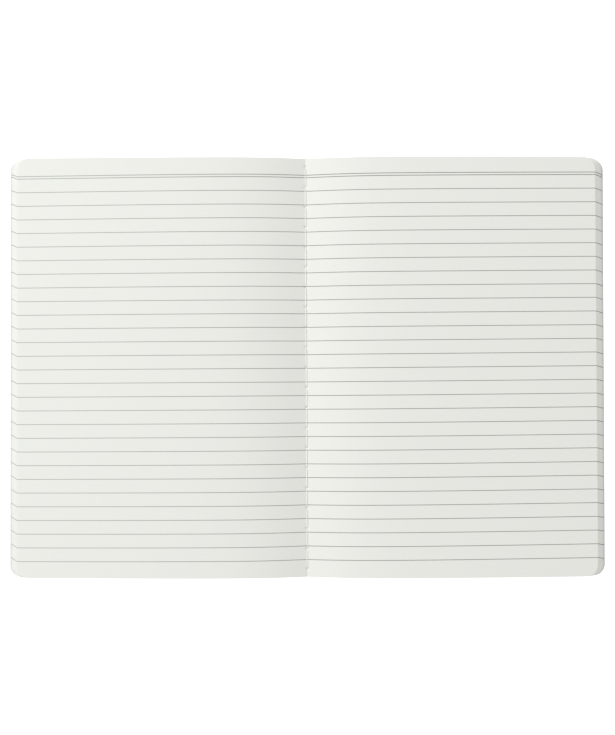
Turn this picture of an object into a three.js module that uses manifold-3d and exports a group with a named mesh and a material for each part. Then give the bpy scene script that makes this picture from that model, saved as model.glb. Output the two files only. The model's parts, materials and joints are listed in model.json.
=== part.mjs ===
// A composition notebook lying open at its middle pages, face up. Its sheets are folded once, nested
// in one gathering and sewn through the fold; two card covers are held on by a cloth tape along
// the spine. Millimetres. +X runs across the right-hand page, +Y to the head, +Z up, and the origin
// is on the surface that the book lies on, under the middle of the spine.

import * as THREE from 'three'
import { mergeVertices } from 'three/addons/utils/BufferGeometryUtils.js'
import Module from 'manifold-3d'

const wasm = await Module()
wasm.setup()

// --- driving dimensions -------------------------------------------------------------------------

const pageHeight = 250 // head to tail, all sheets and covers trimmed together
const innerLeafWidth = 173.3 // fold to fore-edge of the innermost sheet, laid flat
const cornerRadius = 7 // the two outer corners of every leaf and cover

const sheetCount = 30 // folded sheets, so twice as many leaves
const sheetThickness = 0.095
const gutterLooseness = 0.2 // how much the nested folds stand apart at the gutter

const domeRise = 7.2 // how far the springy leaves would rise from the gutter
const domeRun = 30 // distance from the fold over which most of that rise happens
const domeDrop = 4.8 // how far they have come down again at the fore-edge

const coverThickness = 0.5
const coverOverhang = 0.4 // past the outermost sheet, from going round the closed book
const spineGap = 3 // between the two covers, where the fold sits

const tapeThickness = 0.3
const tapeWidth = 32
const layerGap = 0.04 // clearance between one layer and the next

const stitchCount = 20
const stitchLength = 12
const threadDiameter = 0.5
const needleHoleDiameter = 0.9
const lockGap = 0.3 // between the ends of the two threads' legs, inside each needle hole

const cornerFacets = 10
const holeFacets = 10
const threadFacets = 8
const domeFacets = 36 // on each side of the gutter
const weldDistance = 1e-5 // corners closer than this are one

// --- sizes that follow from them ----------------------------------------------------------------

const sheetsThickness = sheetCount * sheetThickness
const coverBottom = tapeThickness + layerGap
const sheetsBottom = coverBottom + coverThickness + layerGap
const gutterTop = sheetsBottom + sheetsThickness + gutterLooseness

// Each sheet goes round all the sheets inside it when the book is closed and trimmed, so opened
// out flat the outermost one reaches a quarter turn of their thickness further than the innermost.
const outerSheetReach = innerLeafWidth + (Math.PI / 2) * sheetsThickness
const coverReach = outerSheetReach + coverOverhang

const threadRadius = threadDiameter / 2
const stitchesLength = stitchCount * stitchLength
const legsTop = sheetsBottom + sheetsThickness / 2 // where the two threads lock, mid-fold

// Height of the uppermost leaf at a distance from the fold: a rise out of the gutter that levels
// off as a hyperbolic tangent does, and a slow parabolic fall to the fore-edge.
function domeHeight(fromFold) {
  const rise = domeRise * Math.tanh(fromFold / domeRun)
  const drop = domeDrop * (fromFold / innerLeafWidth) ** 2
  return gutterTop + rise - drop
}

// How far sideways a leaf of this width reaches when it follows the dome.
function domedReach(leafWidth) {
  const step = 0.1
  let fromFold = 0
  for (let along = 0; along < leafWidth; ) {
    along += Math.hypot(step, domeHeight(fromFold + step) - domeHeight(fromFold))
    fromFold += step
  }
  return fromFold
}

const topLeafReach = domedReach(innerLeafWidth)

// --- solids from geometries and back ------------------------------------------------------------

function toSolid(geometry) {
  geometry.deleteAttribute('normal')
  geometry.deleteAttribute('uv')
  const merged = mergeVertices(geometry, weldDistance)
  return new wasm.Manifold(new wasm.Mesh({
    numProp: 3,
    vertProperties: new Float32Array(merged.attributes.position.array),
    triVerts: new Uint32Array(merged.index.array),
  }))
}

function toGeometry(solid) {
  const mesh = solid.getMesh()
  const geometry = new THREE.BufferGeometry()
  geometry.setAttribute('position', new THREE.BufferAttribute(mesh.vertProperties, 3))
  geometry.setIndex(new THREE.BufferAttribute(mesh.triVerts, 1))
  geometry.computeVertexNormals()
  return geometry
}

// Two solids or more made into one.
function joined(solids) {
  return solids.reduce((whole, solid) => whole.add(solid))
}

// --- outlines -----------------------------------------------------------------------------------

// One leaf or cover seen from above: square at the fold and round at its two outer corners.
// side is 1 for the right-hand half and -1 for the left-hand half.
function leafOutline(side, fromFold, reach) {
  const half = pageHeight / 2
  const middleX = side * (reach - cornerRadius)
  const middleY = half - cornerRadius
  const turnsClockwise = side < 0
  const sideways = side > 0 ? 0 : Math.PI
  const outline = new THREE.Shape()
  outline.moveTo(side * fromFold, half)
  outline.lineTo(side * fromFold, -half)
  outline.absarc(middleX, -middleY, cornerRadius, -Math.PI / 2, -sideways, turnsClockwise)
  outline.absarc(middleX, middleY, cornerRadius, sideways, Math.PI / 2, turnsClockwise)
  outline.closePath()
  return outline
}

// --- page block ---------------------------------------------------------------------------------

// The end view of the open block, domed on both sides of the gutter, carried from tail to head.
// Its facets are closest together by the fold, where the leaves bend most.
function domedBlock() {
  const tops = []
  for (let i = -domeFacets; i <= domeFacets; i++) {
    const share = i / domeFacets
    const x = outerSheetReach * share * Math.sqrt(Math.abs(share))
    tops.push(new THREE.Vector2(x, domeHeight(Math.abs(x))))
  }
  const endView = new THREE.Shape([
    new THREE.Vector2(outerSheetReach, sheetsBottom),
    new THREE.Vector2(-outerSheetReach, sheetsBottom),
    ...tops,
  ].reverse())
  const block = new THREE.ExtrudeGeometry(endView, { depth: pageHeight, bevelEnabled: false })
  block.rotateX(Math.PI / 2)
  block.translate(0, pageHeight / 2, 0)
  return toSolid(block)
}

// A column with a leaf's outline, leaning towards the fold as it rises, because each sheet reaches
// a little less far than the one below it.
function leaningColumn(side) {
  const overlapAtFold = -30
  const lean = (outerSheetReach - topLeafReach) / (domeHeight(topLeafReach) - sheetsBottom)
  const column = new THREE.ExtrudeGeometry(leafOutline(side, overlapAtFold, outerSheetReach), {
    depth: domeRise + gutterTop,
    bevelEnabled: false,
    curveSegments: cornerFacets,
  })
  column.applyMatrix4(new THREE.Matrix4().makeShear(0, 0, 0, 0, -side * lean, 0))
  column.translate(0, 0, sheetsBottom)
  return toSolid(column)
}

function upright(radius, bottom, top, y, facets) {
  const cylinder = new THREE.CylinderGeometry(radius, radius, top - bottom, facets)
  cylinder.rotateX(Math.PI / 2)
  cylinder.translate(0, y, (bottom + top) / 2)
  return toSolid(cylinder)
}

// The places along the fold where the needle went through, from tail to head.
const needlePlaces = Array.from({ length: stitchCount + 1 },
  (_, i) => -stitchesLength / 2 + i * stitchLength)

function pageBlock() {
  const holes = needlePlaces.map((y) =>
    upright(needleHoleDiameter / 2, 0, gutterTop + domeRise, y, holeFacets))
  const trimmed = domedBlock().intersect(joined([leaningColumn(-1), leaningColumn(1)]))
  return toGeometry(trimmed.subtract(joined(holes)))
}

// --- covers, tape and thread --------------------------------------------------------------------

function cover(side) {
  const board = new THREE.ExtrudeGeometry(leafOutline(side, spineGap / 2, coverReach), {
    depth: coverThickness,
    bevelEnabled: false,
    curveSegments: cornerFacets,
  })
  board.translate(0, 0, coverBottom)
  return board
}

function spineTape() {
  const tape = new THREE.BoxGeometry(tapeWidth, pageHeight, tapeThickness)
  tape.translate(0, 0, tapeThickness / 2)
  return tape
}

// A thread of the lockstitch: one straight run along the fold, with a leg into every needle hole.
function thread(runHeight, legEnd) {
  const run = new THREE.CylinderGeometry(
    threadRadius, threadRadius, stitchesLength + threadDiameter, threadFacets)
  run.translate(0, 0, runHeight)
  const bottom = Math.min(runHeight, legEnd)
  const top = Math.max(runHeight, legEnd)
  const legs = needlePlaces.map((y) => upright(threadRadius, bottom, top, y, threadFacets))
  return toGeometry(joined([toSolid(run), ...legs]))
}

// The inner thread lies in the gutter, just clear of its two slopes, and the outer one lies between
// the back of the fold and the tape.
const gutterSlope = Math.atan(domeRise / domeRun)
const innerRunHeight = gutterTop + threadRadius / Math.cos(gutterSlope) + layerGap
const outerRunHeight = (tapeThickness + sheetsBottom) / 2

// --- the notebook -------------------------------------------------------------------------------

const paper = new THREE.MeshStandardMaterial({ color: 0xf1f2ec, roughness: 0.85, metalness: 0 })
const card = new THREE.MeshStandardMaterial({ color: 0xdcdde0, roughness: 0.7, metalness: 0 })
const cloth = new THREE.MeshStandardMaterial({ color: 0xc4c6ca, roughness: 0.9, metalness: 0 })
const cotton = new THREE.MeshStandardMaterial({ color: 0xf8f8f4, roughness: 0.8, metalness: 0 })

const notebook = new THREE.Group()

function add(name, geometry, material) {
  const piece = new THREE.Mesh(geometry, material)
  piece.name = name
  notebook.add(piece)
}

add('page_block', pageBlock(), paper)
add('front_cover', cover(-1), card)
add('back_cover', cover(1), card)
add('spine_tape', spineTape(), cloth)
add('inner_thread', thread(innerRunHeight, legsTop + lockGap / 2), cotton)
add('outer_thread', thread(outerRunHeight, legsTop - lockGap / 2), cotton)

export default notebook
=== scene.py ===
# %% [markdown]
# # An open composition notebook
#
# The notebook lies open at its middle pages. Thirty sheets are folded once, nested in one
# gathering and sewn through the fold; two thin card covers are held on by a cloth tape along the
# spine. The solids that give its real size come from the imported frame, and this lesson builds the
# surfaces that are seen: every sheet's edge, the ruling, the stitches, the card and the cloth.

# %% Load the frame
import json
import math

import bpy
import numpy as np
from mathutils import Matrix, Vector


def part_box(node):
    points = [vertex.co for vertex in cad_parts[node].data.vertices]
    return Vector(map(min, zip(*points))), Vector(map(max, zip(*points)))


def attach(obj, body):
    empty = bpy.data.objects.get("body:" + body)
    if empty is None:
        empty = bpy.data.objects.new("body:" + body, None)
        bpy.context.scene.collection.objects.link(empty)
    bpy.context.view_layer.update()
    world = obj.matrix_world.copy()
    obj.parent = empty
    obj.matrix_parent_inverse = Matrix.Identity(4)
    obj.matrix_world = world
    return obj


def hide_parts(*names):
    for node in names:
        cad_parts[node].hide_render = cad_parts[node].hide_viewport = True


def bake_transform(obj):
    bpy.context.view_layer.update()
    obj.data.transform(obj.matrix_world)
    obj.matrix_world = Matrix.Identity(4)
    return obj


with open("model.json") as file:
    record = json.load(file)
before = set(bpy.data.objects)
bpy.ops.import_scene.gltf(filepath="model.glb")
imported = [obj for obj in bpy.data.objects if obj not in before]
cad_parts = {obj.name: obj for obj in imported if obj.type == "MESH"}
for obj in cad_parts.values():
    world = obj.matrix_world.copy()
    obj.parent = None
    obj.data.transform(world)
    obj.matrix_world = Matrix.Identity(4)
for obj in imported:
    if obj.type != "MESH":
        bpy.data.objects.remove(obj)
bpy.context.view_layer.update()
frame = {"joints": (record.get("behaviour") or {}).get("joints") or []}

mm = 0.001

# %% [markdown]
# ## Camera
#
# The notebook is looked at from straight above, from about arm's length, so the domed pages look
# a little larger at their crests than in the gutter. A long lens far away would lose that, and a
# close wide one would bend the edges. The camera leans by a fraction of a degree, as a hand-held
# or copy-stand camera does.

# %% Camera above the spread
camera_distance = 725 * mm
camera_lean = math.radians(0.7)
camera_roll = math.radians(-0.12)
camera_sideways = 0.2 * mm
lens_length = 59.08

camera = bpy.data.objects.new("camera", bpy.data.cameras.new("camera"))
bpy.context.scene.collection.objects.link(camera)
camera.data.lens = lens_length
camera.data.sensor_width = 36
camera.data.clip_start = 0.01
camera.location = (
    camera_sideways,
    -camera_distance * math.sin(camera_lean),
    camera_distance * math.cos(camera_lean),
)
camera.rotation_euler = (camera_lean, 0, camera_roll)
bpy.context.scene.camera = camera
bpy.context.scene.view_settings.view_transform = "Standard"
print("camera", round(camera_distance, 3), "m from the spine")

# %% [markdown]
# ## Sizes of the gathering
#
# The stack's lowest corner and its widest reach come from the frame. The rest is what a
# bookbinder would write down: how many sheets, how thick, how the leaves spring up from the
# gutter, and where the needle went through. No bound book is quite true, so the last group says
# how this one is out: the fold is off the middle and leans, the right-hand leaves were turned
# over a little askew, the edges are not quite flush, the paper ripples by a tenth of a millimetre,
# and the print is out of square with the trimmed edge.

# %% Sizes
block_low, block_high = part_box("page_block")
page_height = block_high.y - block_low.y
outer_reach = block_high.x
stack_bottom = block_low.z

sheet_count = 30
sheet_thickness = 0.095 * mm
stack_thickness = sheet_count * sheet_thickness
inner_leaf_width = outer_reach - math.pi / 2 * stack_thickness
corner_radius = 7 * mm

gutter_looseness = 0.2 * mm
dome_rise = 7.2 * mm
dome_run = 30 * mm
dome_drop = 4.8 * mm
fold_roundness = 0.35 * mm
air_in_stack = 0.08
loose_sheets = 2.0

stitch_count = 20
stitch_length = 12 * mm
thread_radius = 0.29 * mm
needle_places = (np.arange(stitch_count + 1) - stitch_count / 2) * stitch_length

fold_lean = math.radians(0.18)
fold_shift = -0.5 * mm
right_askew = 0.35 * mm
leaf_turned = 0.33 * mm
leaf_drawn_in = 0.3 * mm
sheet_jog = 0.09 * mm
ripple_height = 0.10 * mm
ripple_length = 60 * mm
print_turn_lowest = math.radians(-0.20)
print_turn_rise = math.radians(0.50)
print_slip = 0.41 * mm
print_shrinkage = 0.0018
print(f"leaf {inner_leaf_width / mm:.1f} mm wide, stack {stack_thickness / mm:.2f} mm thick")

# %% [markdown]
# ## How a mesh is made here
#
# Every surface below is worked out as whole numpy arrays: a grid of points with rows and columns,
# or a row of closed rings. These helpers number the faces between neighbouring points and hand
# the arrays to Blender.


# %% Grids, rings and meshes
def grid_faces(rows, columns, first=0):
    """Quads between neighbours of a grid whose point (r, c) has number first + r * columns + c."""
    corner = first + np.arange((rows - 1) * columns).reshape(rows - 1, columns)[:, :-1]
    return np.stack(
        [corner, corner + 1, corner + columns + 1, corner + columns], -1
    ).reshape(-1, 4)


def ring_faces(rings, around, first=0):
    """Quads between closed rings, one above the other, whose points run anticlockwise."""
    here = np.arange(around)
    after = (here + 1) % around
    level = first + around * np.arange(rings - 1)[:, None]
    return np.stack(
        [level + here, level + after, level + around + after, level + around + here], -1
    ).reshape(-1, 4)


def rim_of_grid(rows, columns, first=0):
    """Numbers of a grid's outer points, anticlockwise from its first corner."""
    number = first + np.arange(rows * columns).reshape(rows, columns)
    return np.concatenate(
        [number[0, :-1], number[:-1, -1], number[-1, :0:-1], number[:0:-1, 0]]
    )


def walls_between(lower_rim, upper_rim):
    """Quads that close the gap between two rims of equal length."""
    lower_after, upper_after = np.roll(lower_rim, -1), np.roll(upper_rim, -1)
    return np.stack([lower_rim, lower_after, upper_after, upper_rim], -1)


def new_piece(name, points, faces, material, smooth_below=35):
    """A mesh object from points and faces. It is shaded smooth where two faces meet at under
    smooth_below degrees."""
    mesh = bpy.data.meshes.new(name)
    corners = [list(map(int, face)) for face in faces]
    mesh.from_pydata(points.reshape(-1, 3).tolist(), [], corners)
    mesh.shade_smooth()
    mesh.set_sharp_from_angle(angle=math.radians(smooth_below))
    mesh.materials.append(material)
    piece = bpy.data.objects.new(name, mesh)
    bpy.context.scene.collection.objects.link(piece)
    print(f"{name}: {len(mesh.vertices)} points, {len(mesh.polygons)} faces")
    return piece


def point_attribute(piece, name, values):
    """Gives every point of the piece a vector that its material can read by name."""
    attribute = piece.data.attributes.new(name, "FLOAT_VECTOR", "POINT")
    attribute.data.foreach_set("vector", values.astype(np.float32).ravel())


def smooth_noise(places, seed, step):
    """A gentle random curve: one random value each step metres, joined by cosine ramps."""
    values = np.random.default_rng(seed).uniform(-1, 1, 4096)
    where = places / step + 1000
    low = np.floor(where).astype(int)
    share = (1 - np.cos(np.pi * (where - low))) / 2
    return values[low] * (1 - share) + values[low + 1] * share


# %% [markdown]
# ## Materials from nodes
#
# Short helpers keep a node tree readable: each adds one node, joins it up and returns its output.


# %% Node helpers
def new_material(name, roughness, colour):
    """An empty material with one Principled shader. Returns the material, tree and shader."""
    material = bpy.data.materials.new(name)
    material.use_nodes = True
    tree = material.node_tree
    shader = tree.nodes["Principled BSDF"]
    shader.inputs["Roughness"].default_value = roughness
    shader.inputs["Base Color"].default_value = (*colour, 1)
    return material, tree, shader


def put(tree, value, socket):
    """Joins a value, a colour or another node's output to a socket."""
    if isinstance(value, bpy.types.NodeSocket):
        tree.links.new(value, socket)
    else:
        socket.default_value = value


def maths(tree, operation, *values):
    """One Math node: its output for up to three numbers or outputs."""
    node = tree.nodes.new("ShaderNodeMath")
    node.operation = operation
    for value, socket in zip(values, node.inputs):
        put(tree, value, socket)
    return node.outputs[0]


def ramp(tree, value, low, high, low_out=0.0, high_out=1.0):
    """Goes smoothly from low_out to high_out as the value goes from low to high."""
    node = tree.nodes.new("ShaderNodeMapRange")
    node.interpolation_type = "SMOOTHSTEP"
    put(tree, value, node.inputs["Value"])
    node.inputs["From Min"].default_value = low
    node.inputs["From Max"].default_value = high
    node.inputs["To Min"].default_value = low_out
    node.inputs["To Max"].default_value = high_out
    return node.outputs["Result"]


def mixed(tree, share, first, second):
    """A colour between two, by a share from 0 to 1."""
    node = tree.nodes.new("ShaderNodeMix")
    node.data_type = "RGBA"
    put(tree, share, node.inputs["Factor"])
    put(tree, first, node.inputs["A"])
    put(tree, second, node.inputs["B"])
    return node.outputs["Result"]


def places(tree, stretch=(1, 1, 1)):
    """The piece's own coordinates in metres, stretched to make a pattern longer or finer."""
    coordinates = tree.nodes.new("ShaderNodeTexCoord")
    mapping = tree.nodes.new("ShaderNodeMapping")
    mapping.inputs["Scale"].default_value = stretch
    tree.links.new(coordinates.outputs["Object"], mapping.inputs["Vector"])
    return mapping.outputs["Vector"]


def noise(tree, vector, size, detail=2.0, roughness=0.5):
    """Noise from 0 to 1 whose blots are about size metres across."""
    node = tree.nodes.new("ShaderNodeTexNoise")
    node.inputs["Scale"].default_value = 1 / size
    node.inputs["Detail"].default_value = detail
    node.inputs["Roughness"].default_value = roughness
    tree.links.new(vector, node.inputs["Vector"])
    return node.outputs["Fac"]


def raised(tree, height, depth, shader):
    """Lets a height from 0 to 1 stand out by depth metres, as bump on the shader."""
    node = tree.nodes.new("ShaderNodeBump")
    node.inputs["Distance"].default_value = depth
    tree.links.new(height, node.inputs["Height"])
    tree.links.new(node.outputs["Normal"], shader.inputs["Normal"])


# %% [markdown]
# ## Ruled paper
#
# Uncoated writing paper is a mat of fibres: matt, very slightly mottled, with a fine tooth. The
# ruling is printed in one thin grey ink before the sheets are folded, so it runs right across the
# fold and off both edges. A line is drawn where the printed height on the sheet is close to a
# whole number of pitches. The height is an attribute of the mesh, so the print follows the paper
# as it bends, and can be a little out of square with the trimmed edge, as it is on real sheets.
# The upright cut edges are painted paler than the faces: painted light that stands in for light
# scattering through the thin paper.

# %% Ruled paper
rule_pitch = 8.15 * mm
rule_count = 28
head_margin = 9.95 * mm
double_rule_gap = 1.48 * mm
rule_half_width = 0.178 * mm
header_half_width = 0.2 * mm
rule_softness = 0.04 * mm
first_rule = page_height / 2 - head_margin - double_rule_gap
paper_colour = (0.765, 0.773, 0.735)
ink_colour = (0.15, 0.15, 0.14)
# How faint the rules are at the left-hand side.
faintest_rule_share = 0.70
# Painted light: the paler colour of the upright cut edges, for light that scatters through the
# paper.
cut_edge_painted_light_colour = (0.86, 0.865, 0.84)
printed_place = "printed_place"


def ruled_paper():
    """White paper with its ruling, darker where a fibre shows, with painted light that makes the
    upright cut edges paler.
    """
    material, tree, shader = new_material("writing_paper", 0.9, paper_colour)
    shader.inputs["Specular IOR Level"].default_value = 0.25

    attribute = tree.nodes.new("ShaderNodeAttribute")
    attribute.attribute_name = printed_place
    split = tree.nodes.new("ShaderNodeSeparateXYZ")
    tree.links.new(attribute.outputs["Vector"], split.inputs[0])
    height = split.outputs["Y"]

    # Pitches below the header, and how far the nearest whole one is.
    below = maths(tree, "DIVIDE", maths(tree, "SUBTRACT", first_rule, height), rule_pitch)
    nearest = maths(tree, "ROUND", below)
    inside = maths(tree, "MINIMUM", maths(tree, "MAXIMUM", nearest, 0.0), float(rule_count))
    off_rule = maths(tree, "ABSOLUTE", maths(tree, "SUBTRACT", below, inside))
    off_rule = maths(tree, "MULTIPLY", off_rule, rule_pitch)
    off_top = maths(tree, "SUBTRACT", height, first_rule + double_rule_gap)
    off_top = maths(tree, "ABSOLUTE", off_top)
    off_top = maths(tree, "SUBTRACT", off_top, header_half_width - rule_half_width)
    in_header = maths(tree, "LESS_THAN", below, 0.5)
    heavier = maths(tree, "MULTIPLY", in_header, header_half_width - rule_half_width)
    off_rule = maths(tree, "SUBTRACT", off_rule, heavier)
    off = maths(tree, "MINIMUM", off_rule, off_top)

    # Ink on fibres: a line's edge wanders and its tone breaks up a little.
    spread = noise(tree, places(tree), 0.5 * mm, 3)
    off = maths(tree, "ADD", off, ramp(tree, spread, 0.3, 0.7, -0.02 * mm, 0.02 * mm))
    line = ramp(
        tree, off, rule_half_width - rule_softness, rule_half_width + rule_softness, 1.0, 0.0
    )
    line = maths(tree, "MULTIPLY", line, ramp(tree, spread, 0.2, 0.8, 0.86, 1.0))
    # The rules are fainter towards the left-hand side.
    fade_to_the_left = ramp(tree, split.outputs["X"], -170 * mm, 60 * mm, faintest_rule_share, 1.0)
    line = maths(tree, "MULTIPLY", line, fade_to_the_left)

    # Paper: clouds, fibres that run with the height of the sheet, and painted light that makes the
    # upright cut edges paler.
    cloudy = noise(tree, places(tree), 14 * mm, 4)
    fibres = noise(tree, places(tree, (1, 0.35, 1)), 0.6 * mm, 5, 0.65)
    darker = tuple(c * 0.975 for c in paper_colour)
    warmer = (paper_colour[0] * 1.01, paper_colour[1] * 1.005, paper_colour[2] * 0.99)
    paper = mixed(
        tree,
        ramp(tree, cloudy, 0.3, 0.7),
        (*paper_colour, 1),
        (*warmer, 1),
    )
    paper = mixed(tree, ramp(tree, fibres, 0.35, 0.75, 0.0, 0.55), paper, (*darker, 1))
    geometry = tree.nodes.new("ShaderNodeNewGeometry")
    upright = tree.nodes.new("ShaderNodeSeparateXYZ")
    tree.links.new(geometry.outputs["True Normal"], upright.inputs[0])
    # Painted light: faces that stand upright, the cut edges, are mixed towards the paler colour.
    painted_light_share = ramp(tree, maths(tree, "ABSOLUTE", upright.outputs["Z"]), 0.3, 0.7, 1.0, 0.0)
    paper = mixed(tree, painted_light_share, paper, (*cut_edge_painted_light_colour, 1))
    colour = mixed(tree, line, paper, (*ink_colour, 1))
    tree.links.new(colour, shader.inputs["Base Color"])
    rough = ramp(tree, fibres, 0.3, 0.7, 0.84, 0.95)
    tree.links.new(rough, shader.inputs["Roughness"])
    raised(tree, fibres, 0.012 * mm, shader)
    return material


paper_material = ruled_paper()
print("ruling:", rule_count, "rules", round(rule_pitch / mm, 2), "mm apart under a double rule")

# %% [markdown]
# ## How the sheets lie
#
# Seen from the end, the uppermost sheet rises out of the gutter, levels off and comes down slowly
# to the fore-edge. The sheets under it are pressed close and arch with it, and only the lowest
# few hang back and fan out, down to one that lies flat on the covers.
#
# Each sheet went round all those inside it when the book was trimmed shut, so opened out flat it
# reaches a quarter turn of their thickness further than the innermost. An arch uses up some of
# that width, half the square of its slope at every step. One function of the sheet's number and
# the distance from the fold gives all thirty sheets.


# %% Heights and reaches of the sheets
def arch(from_fold):
    """How far the top sheet stands over its height at the fold: a tanh rise less a parabola."""
    rounded = np.hypot(from_fold, fold_roundness) - fold_roundness
    rise = dome_rise * np.tanh(rounded / dome_run)
    return rise - dome_drop * (from_fold / inner_leaf_width) ** 2


def up_the_stack(sheet):
    """0 for the lowest sheet and 1 for the top one."""
    return sheet / (sheet_count - 1)


def share_of_arch(sheet):
    """How much of the top sheet's arch a sheet has: 1 for the top one, a little less for each
    one below, and exp(-sheet / loose_sheets) less for the lowest few, down to 0."""
    hanging_back = (1 - air_in_stack) * np.exp(-sheet / loose_sheets)
    return 1 - air_in_stack * (1 - up_the_stack(sheet)) - hanging_back


probe = np.linspace(0, outer_reach, 2000)
slope = np.gradient(arch(probe), probe)
extra_path = np.concatenate([[0], np.cumsum((slope[1:] ** 2) / 2 * np.diff(probe))])


def sheet_reach(sheet):
    """How far sideways a sheet reaches: its trimmed width less what its dome uses up."""
    width = inner_leaf_width + math.pi / 2 * (sheet_count - 1 - sheet) * sheet_thickness
    return width - share_of_arch(sheet) ** 2 * np.interp(width, probe, extra_path)


def half_columns(reach, half, radius, straight, corner):
    """Distances from the fold and half heights of a leaf's columns, closer together at the
    fold, with the last ones along the round corner: reach - r + r sin(a), half - r + r cos(a)."""
    share = np.linspace(0, 1, straight + 1)
    flat = (reach - radius) * share**1.5
    angle = np.linspace(0, np.pi / 2, corner + 1)[1:]
    across = np.concatenate([flat, reach - radius + radius * np.sin(angle)])
    halves = np.concatenate([np.full(straight + 1, half), half - radius + radius * np.cos(angle)])
    return across, halves


def columns_of(half):
    """How many columns a leaf on both sides of the fold has, from a pair for one half."""
    return 2 * sum(half) + 1


def sheet_points(sheet, above, rows, straight, corner, inset=0.0):
    """Points of one sheet's surface, above metres over its underside, as rows by columns.
    inset draws its whole outline in. Also gives each point's place on the flat printed sheet."""
    jog = sheet_jog * np.random.default_rng(sheet).uniform(-1, 1, 2)
    reach = sheet_reach(sheet) - inset
    half = page_height / 2 - inset
    across, halves = half_columns(reach, half, corner_radius - inset, straight, corner)
    x = np.concatenate([-across[:0:-1], across])
    halves = np.concatenate([halves[:0:-1], halves])
    y = rows[:, None] * halves[None, :]
    x = np.broadcast_to(x, y.shape)
    distance = np.abs(x)
    arched = share_of_arch(sheet)
    level = up_the_stack(sheet)

    # Where the paper is.
    ripple = ripple_height * smooth_noise(y + 0.35 * x, 5, ripple_length)
    flat = stack_bottom + sheet * sheet_thickness + gutter_looseness * level
    z = flat + arched * (arch(distance) + ripple * distance / inner_leaf_width)
    leaning = (fold_shift - np.tan(fold_lean) * y) * (1 - distance / outer_reach)
    jogged = np.where(x > 0, jog[0], jog[1]) * (distance / outer_reach) ** 4
    if sheet in (0, sheet_count - 1):
        jogged = 0
    to_the_right = (np.clip(x, 0, None) / outer_reach) ** 2
    turned = (leaf_drawn_in + leaf_turned * 2 * y / page_height) * level**2
    moved_x = x + leaning + jogged - turned * to_the_right
    points = np.stack([moved_x, y + right_askew * to_the_right, z + above], -1)

    # Where the same places were on the flat sheet when it was printed.
    along = x + np.sign(x) * arched**2 * np.interp(distance, probe, extra_path)
    turn = print_turn_lowest + print_turn_rise * level
    slip = print_slip * (1 - level)
    under_header = y - slip - along * math.tan(turn) - first_rule
    dried = 1 + print_shrinkage * np.clip(-x, 0, None) / outer_reach
    printed = np.stack([along, first_rule + under_header * dried, np.zeros_like(x)], -1)
    return points, printed


print(f"top sheet reaches {sheet_reach(29) / mm:.2f} mm, lowest {sheet_reach(0) / mm:.2f} mm")

# %% [markdown]
# ## The stack of sheets
#
# The stack is one closed surface round all but the top sheet: its sides go in and out like a
# comb, out to each sheet's cut edge and in to the shadow between two sheets. The top sheet is a
# thin slab of its own on it, with rows close together where the needle went through, because
# there the paper is drawn down into little funnels. Between them the thread has pressed a crease.

# %% Lower sheets: a comb of rings
groove_depth = 1.2 * mm
lid_sag = 1.2 * mm
lid_sag_reach = 8 * mm
lower_count = sheet_count - 1
lower_rows = np.concatenate([[-1, -0.985], np.linspace(-0.94, 0.94, 19), [0.985, 1]])
lower_columns = (34, 8)


def lower_sheets():
    """Rings at every sheet's lower and upper edge, drawn in by groove_depth between sheets."""
    rings, prints = [], []
    rim = None
    for sheet in range(lower_count):
        for above in (0.0, sheet_thickness):
            outer, outer_print = sheet_points(sheet, above, lower_rows, *lower_columns)
            inner, inner_print = sheet_points(
                sheet, above, lower_rows, *lower_columns, inset=groove_depth
            )
            if rim is None:
                rim = rim_of_grid(*outer.shape[:2])
                bottom, bottom_print = outer, outer_print
            pair = [(inner, inner_print), (outer, outer_print)]
            if above:
                pair.reverse()
            for points, printed in pair:
                rings.append(points.reshape(-1, 3)[rim])
                prints.append(printed.reshape(-1, 3)[rim])
            top, top_print = outer, outer_print
    rings, prints = rings[1:-1], prints[1:-1]

    # The comb's lid is never seen. It sags along the fold to leave room for the funnels.
    sag = lid_sag * np.clip(1 - (top[..., 0] / lid_sag_reach) ** 2, 0, 1)
    sag[[0, -1]] = 0
    top = top - np.stack([0 * sag, 0 * sag, sag], -1)

    size = top.shape[0] * top.shape[1]
    around = len(rim)
    points = np.concatenate([bottom.reshape(-1, 3), *rings[1:-1], top.reshape(-1, 3)])
    printed = np.concatenate(
        [bottom_print.reshape(-1, 3), *prints[1:-1], top_print.reshape(-1, 3)]
    )
    first_ring = size
    last_ring = size + around * (len(rings) - 3)
    top_first = last_ring + around
    numbers = np.arange(around)
    faces = np.concatenate([
        grid_faces(*bottom.shape[:2])[:, ::-1],
        walls_between(rim, first_ring + numbers),
        ring_faces(len(rings) - 2, around, first_ring),
        walls_between(last_ring + numbers, top_first + rim),
        grid_faces(*top.shape[:2], top_first),
    ])
    return points, printed, faces


lower_points, lower_print, lower_faces = lower_sheets()
print("lower sheets:", len(lower_points), "points", len(lower_faces), "faces")

# %% Top sheet, with the needle's funnels
funnel_depth = 1.0 * mm
funnel_width = 0.42 * mm
funnel_length = 1.3 * funnel_width
crease_depth = 0.12 * mm
crease_width = 0.4 * mm
top_columns = (46, 10)


def top_rows():
    """Rows from tail to head, close together round every needle hole."""
    near = np.array([-3, -1.2, -0.6, -0.25, 0, 0.25, 0.6, 1.2, 3]) * mm
    rows = (needle_places[:, None] + near[None, :]).ravel()
    ends = page_height / 2 * np.array([-1, 1])
    return np.sort(np.concatenate([rows, ends])) / (page_height / 2)


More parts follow.
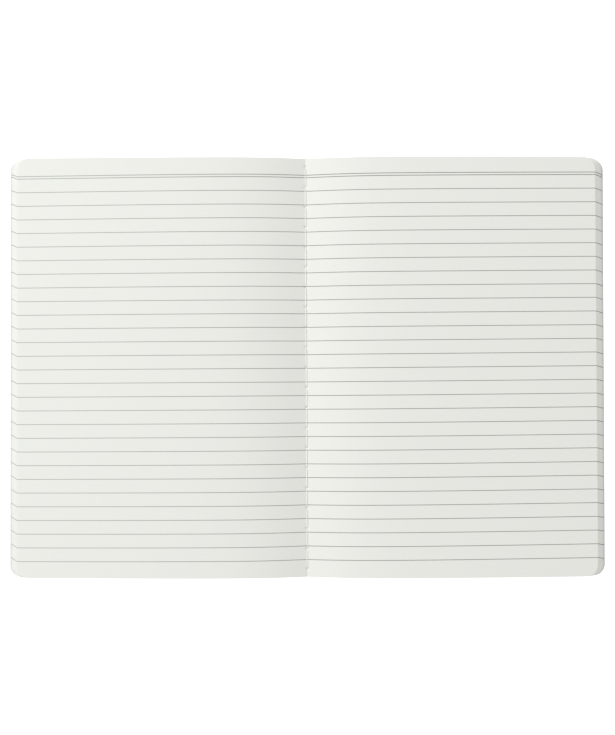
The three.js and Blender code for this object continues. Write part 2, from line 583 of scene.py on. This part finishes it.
def top_sheet():
    """Both faces of the uppermost sheet and its cut edge. At each needle hole it dips as
    exp(-(distance / funnel size)^2), and along the thread as exp(-(distance / crease_width)^2)."""
    rows = top_rows()
    layers = []
    for above in (0.0, sheet_thickness):
        points, printed = sheet_points(sheet_count - 1, above, rows, *top_columns)
        from_hole = np.abs(points[..., 1, None] - needle_places).min(-1)
        from_line = points[..., 0] - fold_shift + np.tan(fold_lean) * points[..., 1]
        near = (from_hole / funnel_length) ** 2 + (from_line / funnel_width) ** 2
        points[..., 2] -= funnel_depth * np.exp(-near)
        points[..., 2] -= crease_depth * np.exp(-((from_line / crease_width) ** 2))
        layers.append((points, printed))
    (under, under_print), (over, over_print) = layers
    rows_columns = under.shape[:2]
    size = rows_columns[0] * rows_columns[1]
    rim = rim_of_grid(*rows_columns)
    faces = np.concatenate([
        grid_faces(*rows_columns)[:, ::-1],
        walls_between(rim, size + rim),
        grid_faces(*rows_columns, size),
    ])
    points = np.concatenate([under.reshape(-1, 3), over.reshape(-1, 3)])
    printed = np.concatenate([under_print.reshape(-1, 3), over_print.reshape(-1, 3)])
    return points, printed, faces


top_points, top_print, top_faces = top_sheet()
page_stack = new_piece(
    "page_stack",
    np.concatenate([lower_points, top_points]),
    np.concatenate([lower_faces, top_faces + len(lower_points)]),
    paper_material,
)
point_attribute(page_stack, printed_place, np.concatenate([lower_print, top_print]))
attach(page_stack, "pages")
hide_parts("page_block")

# %% [markdown]
# ## A flat map of the stack
#
# The stack gets a flat map, so that its patterns can be painted on one square picture. Fine rules
# need most of it, so the open pages get a large rectangle, the lowest page a small one, and the
# sides of the stack are unrolled into strips that are longest where the rules cross them.

# %% Flat map
lowest_page_spot = (0.12, 0.01, 0.19)
lower_sides_spot = (0.01, 0.155, 0.98, 0.115)
hidden_lid_spot = (0.01, 0.01, 0.1)
hidden_underside_spot = (0.33, 0.01, 0.1)
top_sides_spot = (0.45, 0.07, 0.54, 0.01)
open_pages_spot = (0.015, 0.285, 0.97)
shortened_x = 0.2


def flat_grid(points, faces, left, bottom, width):
    """Corners of a grid's faces, seen from above, as a rectangle of this width on the map."""
    plan = points[faces][..., :2]
    low = plan.min((0, 1))
    return [left, bottom] + (plan - low) * width / np.ptp(plan[..., 0])


def flat_strip(rim_points, levels, left, bottom, width, height):
    """Corners of the faces between rings that follow a rim, unrolled: along the rim by the
    distance gone in y plus a fifth of that in x, and upwards by the number of the ring."""
    steps = np.abs(np.diff(rim_points[:, :2], axis=0, append=rim_points[:1, :2]))
    gone = np.concatenate([[0], np.cumsum(steps[:, 1] + shortened_x * steps[:, 0])])
    gone = left + width * gone / gone[-1]
    here = np.arange(len(rim_points))
    rise = height / (levels - 1)
    low = bottom + rise * np.arange(levels - 1)[:, None]
    across = np.stack([gone[here], gone[here + 1], gone[here + 1], gone[here]], -1)
    upwards = np.stack([low, low, low + rise, low + rise], -1)
    shape = (levels - 1, len(here), 4)
    both = np.stack([np.broadcast_to(across, shape), np.broadcast_to(upwards, shape)], -1)
    return both.reshape(-1, 4, 2)


def flat_body(points, faces, rows, columns, under_spot, strip_spot, over_spot):
    """A body made of a grid below, rings up its side and a grid above, in that order."""
    grid_size = (rows - 1) * (columns - 1)
    under, side, over = np.split(faces, [grid_size, len(faces) - grid_size])
    rim = rim_of_grid(rows, columns)
    levels = len(side) // len(rim) + 1
    return np.concatenate([
        flat_grid(points, under, *under_spot),
        flat_strip(points[rim], levels, *strip_spot),
        flat_grid(points, over, *over_spot),
    ])


flat_places = np.concatenate([
    flat_body(
        lower_points, lower_faces, len(lower_rows), columns_of(lower_columns),
        lowest_page_spot, lower_sides_spot, hidden_lid_spot,
    ),
    flat_body(
        top_points, top_faces, len(top_rows()), columns_of(top_columns),
        hidden_underside_spot, top_sides_spot, open_pages_spot,
    ),
])
flat_map = page_stack.data.uv_layers.new(name="OFBake")
flat_map.uv.foreach_set("vector", flat_places.astype(np.float32).ravel())
print("map from", flat_places.min().round(2), "to", flat_places.max().round(2))

# %% [markdown]
# ## Sewing thread
#
# The thread is three plies twisted together. Its surface is a circle with three bulges, carried
# along the stitches and turned steadily as it goes. The inner thread lies in its crease in the
# gutter and dips into every needle hole; the outer one does the same on the back of the fold.

# %% Thread material
thread_colour = (0.93, 0.93, 0.90)


def sewing_thread():
    """Off-white cotton with a slight sheen, darker between its fine fibres."""
    material, tree, shader = new_material("cotton_thread", 0.75, thread_colour)
    shader.inputs["Sheen Weight"].default_value = 0.2
    fibres = noise(tree, places(tree, (1, 0.25, 1)), 0.12 * mm, 3)
    shade = tuple(c * 0.86 for c in thread_colour)
    colour = mixed(tree, ramp(tree, fibres, 0.35, 0.75), (*thread_colour, 1), (*shade, 1))
    tree.links.new(colour, shader.inputs["Base Color"])
    raised(tree, fibres, 0.02 * mm, shader)
    return material


thread_material = sewing_thread()
print("thread", 2 * thread_radius / mm, "mm thick")

# %% Thread surfaces
ply_count = 3
ply_bulge = 0.13
twist_length = 1.6 * mm
thread_step = 0.3 * mm
thread_sides = 15
thread_wander = 0.06 * mm
thread_end_taper = 0.35
inner_dip = 1.1 * mm
outer_dip = 0.7 * mm
dip_width = 0.55 * mm


def stitches(height, dip, seed):
    """The thread's middle line along the fold: straight runs that dip at each needle hole as
    exp(-(distance / width)^2), wandering sideways by a few hundredths of a millimetre."""
    length = stitch_count * stitch_length
    y = np.linspace(-length / 2 - dip_width, length / 2 + dip_width, int(length / thread_step))
    from_hole = np.abs(y[:, None] - needle_places).min(-1)
    z = height - dip * np.exp(-((from_hole / dip_width) ** 2))
    wander = thread_wander * smooth_noise(y, seed, stitch_length / 2)
    return np.stack([fold_shift - np.tan(fold_lean) * y + wander, y, z], -1)


def twisted_thread(middle):
    """Rings round a line in an upright plane, with radius r (1 - b + b cos(3 (angle - turn)))."""
    along = np.gradient(middle, axis=0)
    along /= np.linalg.norm(along, axis=1)[:, None]
    side = np.array([1.0, 0, 0])
    up = np.cross(along, side)
    up /= np.linalg.norm(up, axis=1)[:, None]
    travelled = np.concatenate([[0], np.cumsum(np.linalg.norm(np.diff(middle, axis=0), axis=1))])
    angle = np.linspace(0, 2 * np.pi, thread_sides, endpoint=False)
    turn = 2 * np.pi * travelled[:, None] / twist_length
    radius = thread_radius * (1 - ply_bulge + ply_bulge * np.cos(ply_count * (angle - turn)))
    radius[[0, -1]] *= thread_end_taper
    rings = (
        middle[:, None]
        + (radius * np.cos(angle))[..., None] * side
        + (radius * np.sin(angle))[..., None] * up[:, None]
    )
    count, around = rings.shape[:2]
    ends = np.stack([middle[0], middle[-1]])
    points = np.concatenate([rings.reshape(-1, 3), ends])
    here = np.arange(around)
    after = (here + 1) % around
    last = around * (count - 1)
    caps = np.concatenate([
        np.stack([after, here, here * 0 + count * around], -1),
        np.stack([last + here, last + after, here * 0 + count * around + 1], -1),
    ])
    faces = ring_faces(count, around).tolist() + caps.tolist()
    return points, faces


def thread_piece(name, middle, node):
    """One thread as a finished piece that stands for its plain solid."""
    points, faces = twisted_thread(middle)
    piece = new_piece(name, points, faces, thread_material, 180)
    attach(piece, "pages")
    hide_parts(node)


inner_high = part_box("inner_thread")[1]
outer_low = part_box("outer_thread")[0]
inner_line = stitches(inner_high.z - thread_radius - crease_depth, inner_dip, 11)
outer_line = stitches(outer_low.z + thread_radius, -outer_dip, 12)
thread_piece("needle_thread", inner_line, "inner_thread")
thread_piece("bobbin_thread", outer_line, "outer_thread")

# %% [markdown]
# ## Card covers
#
# Each cover is a piece of smooth, pale grey card, cut square at the spine and round at its outer
# corners. Its surface is a closed slab whose edges are rounded by a tenth of a millimetre, where
# a knife has pressed the card's edge down. The card gets a faint mottle and a fine felt mark.

# %% Card material
card_colour = (0.62, 0.63, 0.65)


def cover_card():
    """Pale grey card: a soft mottle with small felt marks over it."""
    material, tree, shader = new_material("felted_card", 0.6, card_colour)
    cloudy = noise(tree, places(tree), 9 * mm, 5, 0.6)
    felt = noise(tree, places(tree, (1, 0.6, 1)), 0.7 * mm, 4, 0.6)
    paler = tuple(min(1.0, c * 1.06) for c in card_colour)
    darker = tuple(c * 0.93 for c in card_colour)
    colour = mixed(tree, ramp(tree, cloudy, 0.3, 0.7), (*card_colour, 1), (*paler, 1))
    colour = mixed(tree, ramp(tree, felt, 0.45, 0.8, 0.0, 0.6), colour, (*darker, 1))
    tree.links.new(colour, shader.inputs["Base Color"])
    tree.links.new(ramp(tree, felt, 0.3, 0.7, 0.5, 0.68), shader.inputs["Roughness"])
    raised(tree, felt, 0.03 * mm, shader)
    return material


card_material = cover_card()
print("card colour:", card_colour)

# %% Card slabs
card_edge = 0.12 * mm
edge_steps = 4
corner_steps = 12


def slab_rings(outline, low, high, edge):
    """Rings up the side of a slab whose edges are rounded: quarter circles of radius edge.
    outline(inset) gives the ring of points, drawn in by inset."""
    angle = np.linspace(0, np.pi / 2, edge_steps + 1)
    insets = np.concatenate([edge * (1 - np.sin(angle)), edge * (1 - np.cos(angle))])
    lower = low + edge * (1 - np.cos(angle))
    upper = high - edge * (1 - np.sin(angle))
    heights = np.concatenate([lower, upper])
    rings = [
        np.column_stack([outline(inset), np.full(len(outline(0.0)), height)])
        for inset, height in zip(insets, heights)
    ]
    return np.stack(rings)


def cover_outline(side, at_spine, reach, half, inset):
    """A cover from above, anticlockwise: straight at the spine, round at the outer corners."""
    angle = np.linspace(0, np.pi / 2, corner_steps + 1)
    radius = corner_radius - inset
    middle_x, middle_y = reach - corner_radius, half - corner_radius
    lower = np.stack([
        middle_x + radius * np.sin(angle), -middle_y - radius * np.cos(angle)], -1)
    upper = np.stack([
        middle_x + radius * np.cos(angle), middle_y + radius * np.sin(angle)], -1)
    spine_x = at_spine + inset
    spine_y = half - inset
    spine = np.array([[spine_x, spine_y], [spine_x, -spine_y]])
    ring = np.concatenate([lower, upper, spine])
    if side < 0:
        ring = ring[::-1] * [-1, 1]
    return ring


def slab(rings):
    """A closed body from rings, with one flat face at each end."""
    count, around = rings.shape[:2]
    number = np.arange(around)
    faces = ring_faces(count, around).tolist()
    faces.append(number[::-1].tolist())
    faces.append((around * (count - 1) + number).tolist())
    return rings.reshape(-1, 3), faces


def cover_piece(name, side, node):
    """One card cover, inside its plain solid, riding on its own hinge."""
    low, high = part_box(node)
    at_spine = low.x if side > 0 else -high.x
    reach = high.x if side > 0 else -low.x

    def outline(inset):
        return cover_outline(side, at_spine, reach, high.y, inset)

    points, faces = slab(slab_rings(outline, low.z, high.z, card_edge))
    piece = new_piece(name, points, faces, card_material, 30)
    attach(piece, "front" if side < 0 else "back")
    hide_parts(node)


cover_piece("front_card", -1, "front_cover")
cover_piece("back_card", 1, "back_cover")

# %% [markdown]
# ## Spine tape
#
# Book cloth is a plain weave filled with starch: warp and weft threads half a millimetre apart
# cross over and under. The strip is one piece on the book, where it bends round each cover's hinge.
# Here it is made as two halves that meet under the fold, because each half has to bend round its
# own cover's hinge; the columns are close together there so that the bend is smooth.

# %% Cloth material
cloth_colour = (0.46, 0.47, 0.49)
cloth_thread = 0.5 * mm


def tape_cloth():
    """Grey cloth: sin(x) sin(y) gives the weave, with painted shade in its hollows and painted
    light on its raised crossings, and long noise gives its thicker threads.
    """
    material, tree, shader = new_material("book_cloth", 0.85, cloth_colour)
    split = tree.nodes.new("ShaderNodeSeparateXYZ")
    tree.links.new(places(tree), split.inputs[0])
    turns = math.pi / cloth_thread
    warp = maths(tree, "SINE", maths(tree, "MULTIPLY", split.outputs["X"], turns))
    weft = maths(tree, "SINE", maths(tree, "MULTIPLY", split.outputs["Y"], turns))
    weave = maths(tree, "MULTIPLY_ADD", maths(tree, "MULTIPLY", warp, weft), 0.5, 0.5)
    slubs = noise(tree, places(tree, (1, 0.2, 1)), 1.2 * mm, 3)
    paler = tuple(c * 1.12 for c in cloth_colour)
    darker = tuple(c * 0.82 for c in cloth_colour)
    # Painted shade and light: the weave is darker where it is low and paler where it is raised.
    colour = mixed(tree, weave, (*darker, 1), (*paler, 1))
    colour = mixed(tree, ramp(tree, slubs, 0.5, 0.8, 0.0, 0.5), colour, (*cloth_colour, 1))
    tree.links.new(colour, shader.inputs["Base Color"])
    tree.links.new(ramp(tree, slubs, 0.3, 0.7, 0.8, 0.92), shader.inputs["Roughness"])
    raised(tree, weave, 0.08 * mm, shader)
    return material


cloth_material = tape_cloth()
print("cloth weave:", cloth_thread / mm, "mm from thread to thread")

# %% Tape halves
tape_low, tape_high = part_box("spine_tape")
hinge_x = abs(frame["joints"][0]["pos_m"][0])
bend_half = 1.3 * mm
thin_edge_width = 0.2 * mm
thin_edge_loss = 0.06 * mm


def tape_half(name, side):
    """A closed slab from the middle of the spine to the tape's edge, on one cover's side."""
    across = np.concatenate([
        np.linspace(0, hinge_x + bend_half, 22),
        np.linspace(hinge_x + bend_half, tape_high.x, 12)[1:],
    ])
    along = np.linspace(tape_low.y, tape_high.y, 60)
    x, y = np.meshgrid(side * across[::side], along)
    thin_edge = thin_edge_loss * (np.abs(x) > tape_high.x - thin_edge_width)
    under = np.stack([x, y, tape_low.z + thin_edge], -1)
    over = np.stack([x, y, tape_high.z - thin_edge], -1)
    rows, columns = x.shape
    rim = rim_of_grid(rows, columns)
    size = rows * columns
    faces = np.concatenate([
        grid_faces(rows, columns)[:, ::-1],
        walls_between(rim, size + rim),
        grid_faces(rows, columns, size),
    ])
    piece = new_piece(name, np.concatenate([under, over]), faces, cloth_material, 60)
    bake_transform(piece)
    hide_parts("spine_tape")


tape_half("spine_tape_front_half", -1)
tape_half("spine_tape_back_half", 1)

# %% [markdown]
# ## Floor and light
#
# A shadowless catalogue picture is taken on a sheet of clear glass held well above a white floor
# that is lit by itself. That is what is set up here, without the glass: the floor lies a little
# further down than a cover reaches when it hangs open, and it glows enough to lose the shadow.
# One large soft lamp stands low to the upper left, so each page is brightest where it leans that
# way and darkest where it falls into the gutter from the left; an even white sky fills the rest.

# %% White floor
floor_drop = 190 * mm
floor_half = 60.0
floor_glow = 0.85
floor_mesh = bpy.data.meshes.new("white_floor")
floor_mesh.from_pydata(
    [(-floor_half, -floor_half, 0), (floor_half, -floor_half, 0),
     (floor_half, floor_half, 0), (-floor_half, floor_half, 0)],
    [], [(0, 1, 2, 3)],
)
white_floor = bpy.data.objects.new("white_floor", floor_mesh)
white_floor.location.z = -floor_drop
bpy.context.scene.collection.objects.link(white_floor)
floor_material, floor_tree, floor_shader = new_material("white_floor", 0.9, (0.5, 0.5, 0.5))
floor_cloud = ramp(floor_tree, noise(floor_tree, places(floor_tree), 0.25, 2), 0.2, 0.8)
floor_tints = (0.51, 0.51, 0.51, 1), (0.49, 0.49, 0.49, 1)
floor_colour = mixed(floor_tree, floor_cloud, *floor_tints)
floor_tree.links.new(floor_colour, floor_shader.inputs["Base Color"])
floor_shader.inputs["Specular IOR Level"].default_value = 0.1
floor_shader.inputs["Emission Color"].default_value = (1, 1, 1, 1)
floor_shader.inputs["Emission Strength"].default_value = floor_glow
floor_mesh.materials.append(floor_material)
print("floor", floor_drop / mm, "mm under the book")

# %% Lamps and sky
def soft_lamp(name, place, size, power):
    """A square soft lamp that faces the middle of the notebook."""
    data = bpy.data.lights.new(name, "AREA")
    data.size = size
    data.energy = power
    lamp = bpy.data.objects.new(name, data)
    bpy.context.scene.collection.objects.link(lamp)
    lamp.location = place
    towards = (-lamp.location).to_track_quat("-Z", "Y")
    lamp.rotation_euler = towards.to_euler()
    return lamp


key_place = (-1.75, 1.37, 1.14)
key_size = 0.9
key_power = 36.7
key_lamp = soft_lamp("key_lamp", key_place, key_size, key_power)
sky_strength = 0.8
seen_sky_strength = 1.2
sky = bpy.data.worlds.new("sky")
sky.use_nodes = True
sky_light = sky.node_tree.nodes["Background"]
sky_light.inputs["Color"].default_value = (1, 1, 1, 1)
ray = sky.node_tree.nodes.new("ShaderNodeLightPath").outputs["Is Camera Ray"]
strength = maths(
    sky.node_tree, "MULTIPLY_ADD", ray, seen_sky_strength - sky_strength, sky_strength
)
sky.node_tree.links.new(strength, sky_light.inputs["Strength"])
bpy.context.scene.world = sky
print("key lamp", round(key_lamp.location.length, 2), "m away")
